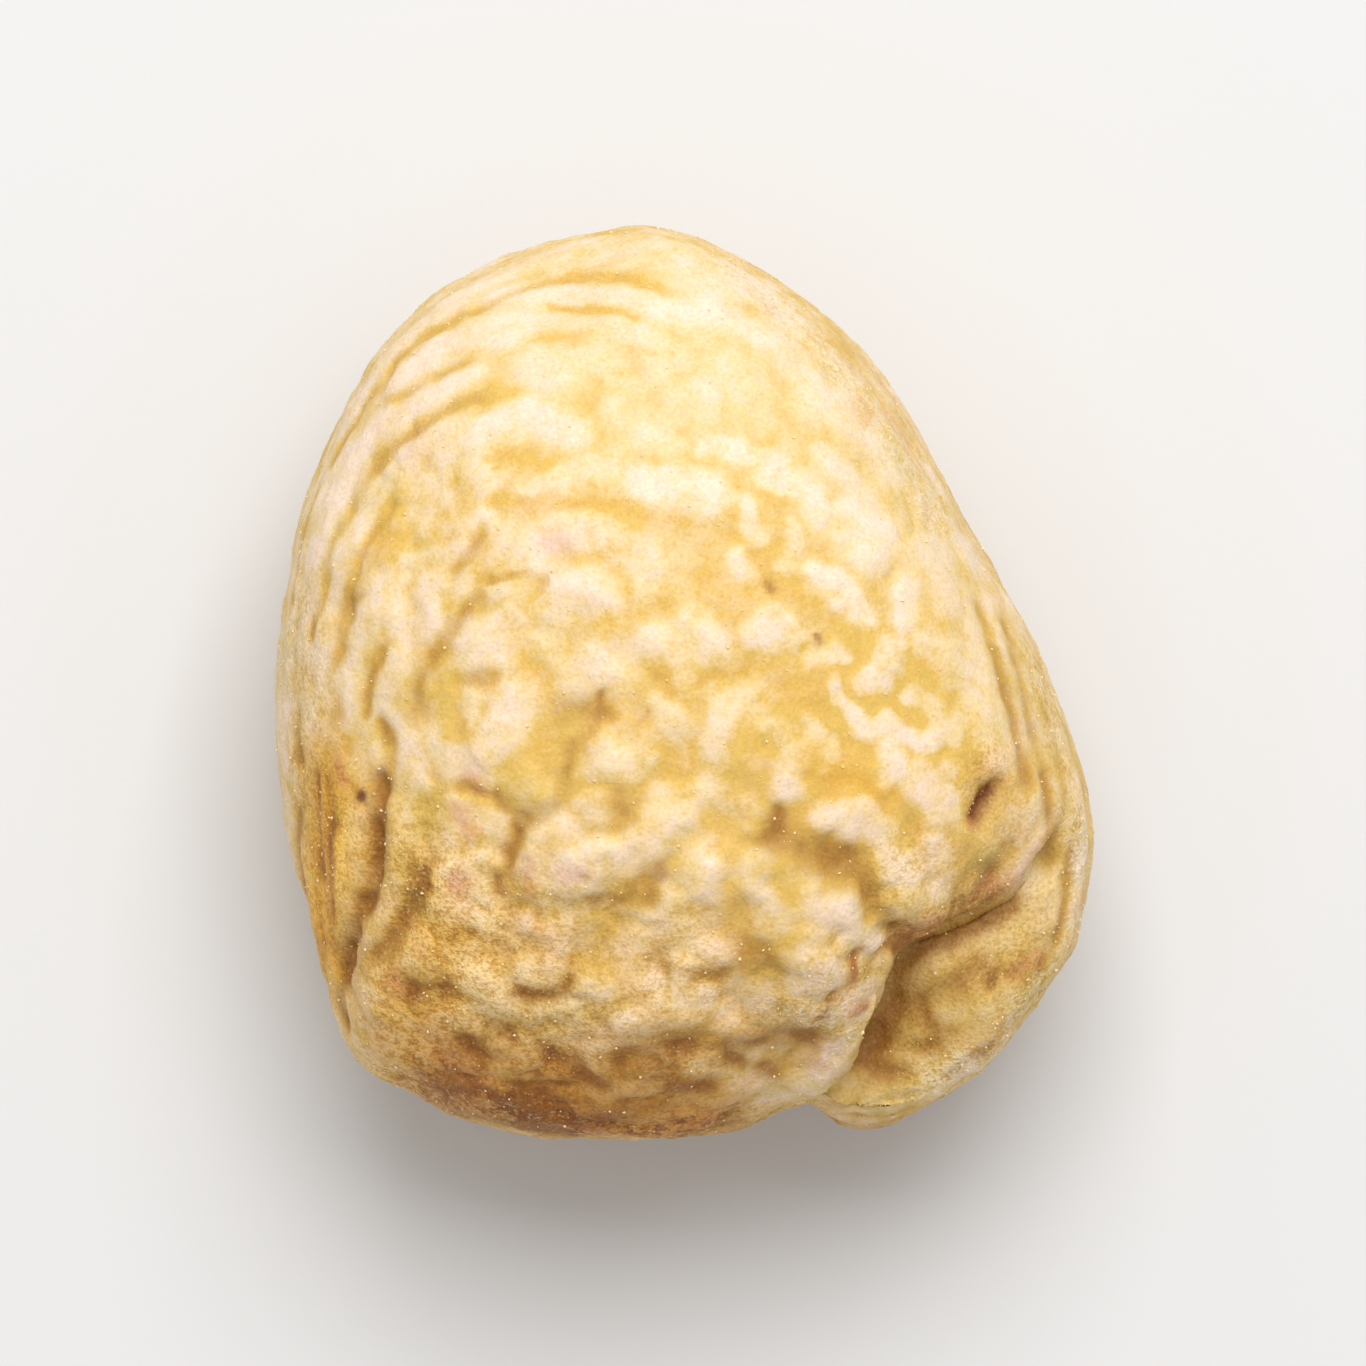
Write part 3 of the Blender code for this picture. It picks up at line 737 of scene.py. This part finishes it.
relief += 0.22 * lattice_noise(kernel_spots, 5.0, 33)
relief += 0.3 * boldness * (1.0 - 0.5 * steep) * lattice_noise(kernel_spots, 2.3, 35)

kernel_final = kernel_spots + kernel_normals * relief[:, None]
kernel_final[:, 2] = np.maximum(kernel_final[:, 2], 0.0)


def joined(first, second):
    """Two covers from 0 to 1 laid over each other: 1 - (1 - first) * (1 - second)."""
    return 1.0 - (1.0 - first) * (1.0 - second)


# How much of each tint a corner has, which the material reads by name
wild_pale = wild * (0.34 + 0.3 * outer + 0.35 * under)
masks = {
    "pale": (tone * blend_step(0.03, 0.88, drawn) + wild_pale) * (1.0 - 0.5 * cut),
    "hollow": 1.0 - (drawn + wild) * (1.0 - cut),
    "brown": cut * cut_brown,
}
for name, rows in TINTS.items():
    for strength, radius, *points in rows:
        patch = Lines()
        patch.add(skin_place(plan(points)), radius * PIXEL, 1.0, 1.0)
        seen, _, _ = patch.spread(warped, rooms, 2.5)
        masks[name] = joined(masks.get(name, 0.0), strength * np.clip(seen, 0.0, 1.0))
masks["gold"] = joined(masks["gold"], 0.8 * cut)
for name, size, seed in (("cloud", 2.4, 71), ("drift", 1.6, 73), ("blotch", 0.95, 75)):
    masks[name] = 0.5 + 0.32 * lattice_noise(kernel_spots, size, seed)
    masks[name] += 0.2 * lattice_noise(kernel_spots, 0.5 * size, seed + 1)
side_tan = blend_step(72.0, 108.0, steepness)
side_tan *= 0.45 + 0.35 * lattice_noise(kernel_spots, 6.0, 41)
masks["tan"] = joined(masks["tan"], np.clip(side_tan, 0.0, 1.0))
# More painted shade: darker towards the floor at the folded end, and in the gaps between the
# strands below the widest part
low_end = blend_step(12.0, 8.5, z) * blend_step(-7.0, -15.0, y)
low_end *= 0.6 + 0.5 * lattice_noise(kernel_spots, 4.0, 43)
masks["painted_shade"] = joined(masks["painted_shade"], np.clip(low_end, 0.0, 1.0))
strand_gaps = 1.0 - np.clip(2.2 * wild, 0.0, 1.0)
masks["painted_shade"] = np.maximum(masks["painted_shade"], 0.35 * under * strand_gaps)


def put_in_scene(name, data):
    """A new object that holds a mesh, a light or a camera."""
    thing = bpy.data.objects.new(name, data)
    bpy.context.scene.collection.objects.link(thing)
    return thing


def make_mesh(name, spots, faces):
    """A smooth mesh object from places in millimetres and rows of corners."""
    mesh = bpy.data.meshes.new(name)
    mesh.from_pydata(spots * MM, [], faces.tolist())
    mesh.shade_smooth()
    return put_in_scene(name, mesh)


kernel = make_mesh("chestnut_kernel", kernel_final, kernel_faces)
for name, values in masks.items():
    layer = kernel.data.attributes.new(name, "FLOAT", "POINT")
    layer.data.foreach_set("value", np.clip(values, 0.0, 1.0).astype(np.float32))


class Value:
    """A node socket that Python's operators turn into Math nodes."""

    def __init__(self, tree, socket):
        self.tree = tree
        self.socket = socket

    def math(self, operation, *others):
        """A Math node on this value and the others, as links or as numbers."""
        made = self.tree.node("Math", {"operation": operation})
        for place, value in zip(made.inputs, (self,) + others):
            self.tree.feed(place, value)
        return self.tree.out(made)

    def __add__(self, other):
        return self.math("ADD", other)

    __radd__ = __add__

    def __mul__(self, other):
        return self.math("MULTIPLY", other)

    __rmul__ = __mul__

    def __sub__(self, other):
        return self.math("SUBTRACT", other)

    def __rsub__(self, other):
        return (self * -1.0) + other

    def clamp(self):
        return self.math("MINIMUM", 1.0).math("MAXIMUM", 0.0)


class Tree:
    """A material's node tree."""

    def __init__(self, name):
        self.material = bpy.data.materials.new(name)
        self.material.use_nodes = True
        self.nodes = self.material.node_tree.nodes
        self.links = self.material.node_tree.links
        self.nodes.clear()

    def node(self, kind, settings=None, **values):
        """A node of this kind, its settings first and then its sockets, _ for a space."""
        made = self.nodes.new("ShaderNode" + kind)
        for key, value in (settings or {}).items():
            setattr(made, key, value)
        for key, value in values.items():
            self.feed(made.inputs[key.replace("_", " ")], value)
        return made

    def feed(self, place, value):
        """Link a value to a socket, or set a number or a colour on it."""
        if isinstance(value, Value):
            self.links.new(value.socket, place)
        else:
            place.default_value = value

    def out(self, made, name=0):
        return Value(self, made.outputs[name])

    def mask(self, name):
        return self.out(self.node("Attribute", {"attribute_name": name}), "Fac")

    def pattern(self, kind, size_mm, name, **values):
        """One output of a texture node whose lumps are about this size."""
        place = self.out(self.node("TexCoord"), "Object")
        made = self.node(kind, Vector=place, Scale=1.0 / (size_mm * MM), **values)
        return self.out(made, name)

    def ramp(self, value, low, high, kind="LINEAR"):
        """0 up to low, 1 from high, and a straight rise between them."""
        made = self.node(
            "MapRange", {"interpolation_type": kind}, Value=value, From_Min=low, From_Max=high,
        )
        return self.out(made, "Result")

    def step(self, value, low, high):
        """0 up to low, 1 from high, and a smooth rise between them."""
        return self.ramp(value, low, high, "SMOOTHSTEP")

    def mix(self, factor, first, second, blend="MIX"):
        """Two colours mixed. Sockets 6 and 7 and output 2 are a Mix node's colour ones."""
        made = self.node("Mix", {"data_type": "RGBA", "blend_type": blend})
        for index, value in ((0, factor), (6, first), (7, second)):
            self.feed(made.inputs[index], value)
        return self.out(made, 2)

    def finish(self, shader):
        """Link a shader to the material's output."""
        place = self.node("OutputMaterial").inputs["Surface"]
        self.links.new(shader.outputs[0], place)
        return self.material


def srgb(red, green, blue):
    """A colour picked as 0 to 255 display values, as the linear one that a shader takes."""
    part = np.array((red, green, blue)) / 255.0
    linear = np.where(part <= 0.04045, part / 12.92, ((part + 0.055) / 1.055) ** 2.4)
    return (*linear.tolist(), 1.0)


STRAW = srgb(230, 194, 102)
CREAM = srgb(242, 217, 165)
STARCH = srgb(250, 229, 207)
HOLLOW_PAINTED_SHADE = srgb(240, 212, 138)
DEEP_TAN = srgb(172, 120, 42)
TAN = srgb(230, 184, 88)
PALE_TAN = srgb(250, 222, 160)
GREEN_DRIFT = srgb(208, 184, 92)
RED_DRIFT = srgb(228, 176, 138)
OCHRE_SHADE = srgb(255, 233, 138)
PAINTED_SHADE_BROWN = srgb(213, 184, 135)
OLIVE = srgb(204, 180, 98)
ROSE = srgb(206, 122, 96)
BROWN = srgb(148, 92, 30)
SCAR = srgb(118, 58, 24)
DUST = srgb(242, 230, 210)
PORE_SHADE = srgb(224, 211, 190)
GLINT = srgb(250, 224, 172)
WHITE = srgb(255, 255, 255)

flesh = Tree("kernel_flesh")
cloud, drift, blotch = flesh.mask("cloud"), flesh.mask("drift"), flesh.mask("blotch")
pale, milky, gold = flesh.mask("pale"), flesh.mask("milky"), flesh.mask("gold")
frost, ochre, painted_shade = flesh.mask("frost"), flesh.mask("ochre"), flesh.mask("painted_shade")
fine = flesh.pattern("TexNoise", 0.42, "Fac", Detail=2.0, Roughness=0.6)
grain = flesh.pattern("TexNoise", 0.15, "Fac", Detail=1.0, Roughness=0.7)
granule = 1.0 - flesh.pattern("TexVoronoi", 0.21, "Distance")
tan = (flesh.mask("tan") * (1.0 + (cloud - 0.5) * 1.6)).clamp()
hollow = flesh.step(flesh.mask("hollow") + (blotch - 0.5) * 0.4, 0.35, 1.1)

# Bare flesh: straw in the hollows, cream above and starch on the hills, mottled, and the hollows
# deepened by painted shade
mottle = (
    (blotch - 0.5) * 1.3 + (fine - 0.5) * (0.8 + 0.6 * pale)
    + (grain - 0.5) * 0.15 + (cloud - 0.5) * 0.5
)
paleness = (
    (pale * 0.8 - 0.42) * (1.0 + 1.15 * flesh.mask("crisp"))
    + mottle * (1.0 - 0.45 * milky) + 0.5
)
paleness = paleness + 0.17 * milky - gold * 0.6
upper = flesh.mix(flesh.ramp(paleness, -0.1, 0.5), STRAW, CREAM)
upper = flesh.mix(flesh.ramp(paleness, 0.5, 1.1), upper, STARCH)
# Partly the hollows' golden colour, partly painted shade in them
upper = flesh.mix(hollow * (0.4 - 0.25 * milky), upper, HOLLOW_PAINTED_SHADE, "MULTIPLY")

# Tanned flesh: deep tan in the hollows, darkened further there as painted shade, pale on the hills,
# and speckled with more contrast where the painted shade lies
tan_tone_and_shade = (
    (pale - 0.45) * 0.7 + (blotch - 0.5) * 0.5 + (fine - 0.5) * 0.4
    + (cloud - 0.5) * 0.6 - hollow * 0.3
)
specks = (fine - 0.5) * 2.2 + (grain - 0.5) * 0.9
tan_tone_and_shade = tan_tone_and_shade * (1.0 + 0.9 * painted_shade) + specks * painted_shade + 0.56
lower = flesh.mix(flesh.ramp(tan_tone_and_shade, 0.0, 0.5), DEEP_TAN, TAN)
lower = flesh.mix(flesh.ramp(tan_tone_and_shade, 0.5, 1.0), lower, PALE_TAN)
colour = flesh.mix(tan, upper, lower)

# Green and red drifts, then the stains, and a brown multiply that paints shade on the low end and
# in the fold
green = flesh.step(drift, 0.52, 0.72) * (0.12 + 0.25 * tan + 0.2 * frost)
colour = flesh.mix(green, colour, GREEN_DRIFT)
red = flesh.step(1.0 - drift, 0.55, 0.75) * (0.08 + 0.22 * tan + 0.25 * frost)
colour = flesh.mix(red, colour, RED_DRIFT)
colour = flesh.mix(ochre, colour, OCHRE_SHADE, "MULTIPLY")
# Painted shade: the brown multiply darkens the low end, the fold and the strand gaps
colour = flesh.mix(painted_shade, colour, PAINTED_SHADE_BROWN, "MULTIPLY")
colour = flesh.mix(flesh.mask("olive") * 0.5, colour, OLIVE)
colour = flesh.mix(flesh.mask("rosy") * 0.6, colour, ROSE)
# Brown of the furrows and stains; along the fold it is also the fold's painted shadow
brown = (flesh.mask("brown") * 1.4 + (fine - 0.5) * 0.8).clamp()
colour = flesh.mix(brown * 0.75, colour, BROWN)
colour = flesh.mix((flesh.mask("scar") * 1.3).clamp() * 0.85, colour, SCAR)

# Frost dust, pores, and the glint of starch granules
dust = frost * 0.7 + (cloud - 0.5) * 0.6 + (fine - 0.5) * 0.9 + (grain - 0.5) * 0.8
colour = flesh.mix(flesh.step(dust, 0.35, 0.85) * 0.55, colour, DUST)
pores = (grain - 0.5) * (0.2 + 1.0 * tan) + (fine - 0.5) * (0.1 + 0.9 * tan) + 0.5
pores = flesh.mix(flesh.step(pores, 0.3, 0.62), PORE_SHADE, WHITE)
colour = flesh.mix(1.0, colour, pores, "MULTIPLY")
glint = flesh.step(granule + (fine - 0.5) * 0.5, 0.6, 0.95)
glint = glint * (0.08 + 0.26 * tan + 0.25 * frost) * (1.0 - 0.6 * ochre)
colour = flesh.mix(glint, colour, GLINT)

height = fine * (0.4 + 0.6 * tan) + grain * (0.2 + 0.7 * tan + 0.3 * frost)
bump = flesh.node("Bump", Strength=1.0, Distance=0.1 * MM, Height=height)
kernel.data.materials.append(flesh.finish(flesh.node(
    "BsdfPrincipled",
    Base_Color=colour, Roughness=0.6, IOR=1.4, Normal=flesh.out(bump),
    Subsurface_Weight=0.14, Subsurface_Scale=0.6 * MM, Subsurface_Radius=(0.9, 0.6, 0.35),
)))
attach(kernel, "root")
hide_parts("kernel")

# Frost grains. Starch and ice dried on the skin as clear, pale grains about 0.1 mm
# across. Most sit in the furrows and on the tanned and frosted parts.
GRAIN_COUNT = 2800
GRAIN_LEAST = 0.025       # half its width, in mm
GRAIN_MOST = 0.075
GRAIN_STANDS = 0.4        # how far its middle stands off the skin, as a share of that
FLOOR_GAP = 0.4           # no grains sit lower than this


def octahedra(places, sizes, draw):
    """Closed grains of eight faces.

    The six corners of a grain are its place plus and minus its size along three
    square axes that are turned at random, each stretched by its own share.
    """
    first = unit(draw.normal(size=(len(places), 3)))
    second = unit(np.cross(first, draw.normal(size=(len(places), 3))))
    axes = np.stack((first, second, np.cross(first, second)), axis=1)
    axes *= (sizes[:, None] * draw.uniform(0.6, 1.3, (len(places), 3)))[..., None]
    signs = np.array((1.0, -1.0))[None, None, :, None]
    corners = places[:, None, None, :] + axes[:, :, None, :] * signs
    pattern = np.array((
        (0, 2, 4), (2, 1, 4), (1, 3, 4), (3, 0, 4), (2, 0, 5), (1, 2, 5), (3, 1, 5), (0, 3, 5),
    ))
    faces = pattern[None] + 6 * np.arange(len(places))[:, None, None]
    return corners.reshape(-1, 3), faces.reshape(-1, 3)


draw = np.random.default_rng(11)
panel = kernel_final[kernel_faces]
panel_cross = np.cross(panel[:, 2] - panel[:, 0], panel[:, 3] - panel[:, 1])
panel_area = 0.5 * np.linalg.norm(panel_cross, axis=1)
liking = (0.25 + 0.9 * masks["frost"] + 0.6 * masks["tan"] + 0.6 * cut)[kernel_faces].mean(axis=1)
off_floor = panel[:, 0, 2] > FLOOR_GAP
liking *= off_floor * (1.0 - 0.7 * masks["painted_shade"][kernel_faces[:, 0]])
chance = panel_area * liking
chosen = draw.choice(len(kernel_faces), GRAIN_COUNT, p=chance / chance.sum())
u, v = draw.random((2, GRAIN_COUNT, 1))
seat = panel[chosen]
first_side = (1.0 - v) * seat[:, 0] + v * seat[:, 3]
second_side = (1.0 - v) * seat[:, 1] + v * seat[:, 2]
seat = (1.0 - u) * first_side + u * second_side
final_normals = corner_normals(kernel_final, kernel_faces)
grain_size = GRAIN_LEAST + (GRAIN_MOST - GRAIN_LEAST) * draw.random(GRAIN_COUNT) ** 2.5
seat += final_normals[kernel_faces[chosen, 0]] * (GRAIN_STANDS * grain_size)[:, None]
grains = make_mesh("frost_grains", *octahedra(seat, grain_size, draw))
grains.data.shade_flat()
ice = Tree("frost_grain")
grains.data.materials.append(ice.finish(ice.node(
    "BsdfPrincipled", Base_Color=srgb(240, 216, 164), Roughness=0.25, IOR=1.45,
)))
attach(grains, "root")

# Floor. A plain sheet of matt, pale card, wide enough to fill the picture from every
# side. The kernel lies on it by its own flat spot and isn't fixed.
FLOOR_SIDE = 3.0

bpy.ops.mesh.primitive_plane_add(size=FLOOR_SIDE)
floor = bpy.context.object
floor.name = "floor"
card = Tree("floor_white")
floor.data.materials.append(card.finish(card.node(
    "BsdfPrincipled", Base_Color=srgb(220, 220, 220), Roughness=0.8,
)))

# Light. A bright, even room, and one square softbox high over the crown end. It throws
# the soft shadow that lies past the folded end.
ROOM_COLOUR = (1.0, 0.98, 0.96, 1.0)
ROOM_STRENGTH = 0.57
KEY_AZIMUTH = math.radians(8.0)
KEY_ELEVATION = math.radians(60.0)
KEY_DISTANCE = 0.6
KEY_SIDE = 0.4
KEY_WATTS = 3.15

world = bpy.data.worlds.new("studio")
bpy.context.scene.world = world
world.use_nodes = True
surround = world.node_tree.nodes["Background"]
surround.inputs["Color"].default_value = ROOM_COLOUR
surround.inputs["Strength"].default_value = ROOM_STRENGTH

softbox = bpy.data.lights.new("key", "AREA")
softbox.shape = "SQUARE"
softbox.size = KEY_SIDE
softbox.energy = KEY_WATTS
key = put_in_scene("key", softbox)
key_level = KEY_DISTANCE * math.cos(KEY_ELEVATION)
key.location = (
    key_level * math.sin(KEY_AZIMUTH),
    key_level * math.cos(KEY_AZIMUTH),
    KEY_DISTANCE * math.sin(KEY_ELEVATION),
)
key.rotation_euler = (0.5 * math.pi - KEY_ELEVATION, 0.0, math.pi - KEY_AZIMUTH)

# Camera. A long lens straight above the kernel, so that its sides hardly spread. The
# picture is FRAME_WIDTH wide at FRAME_LEVEL above the floor.
LENS = 400.0
SENSOR_WIDTH = 36.0
FRAME_WIDTH = 0.050
FRAME_LEVEL = 0.012

lens = bpy.data.cameras.new("camera")
lens.lens = LENS
lens.sensor_width = SENSOR_WIDTH
camera = put_in_scene("camera", lens)
camera.location = (0.0, 0.0, FRAME_LEVEL + FRAME_WIDTH * LENS / SENSOR_WIDTH)
bpy.context.scene.camera = camera
bpy.context.scene.view_settings.view_transform = "Standard"
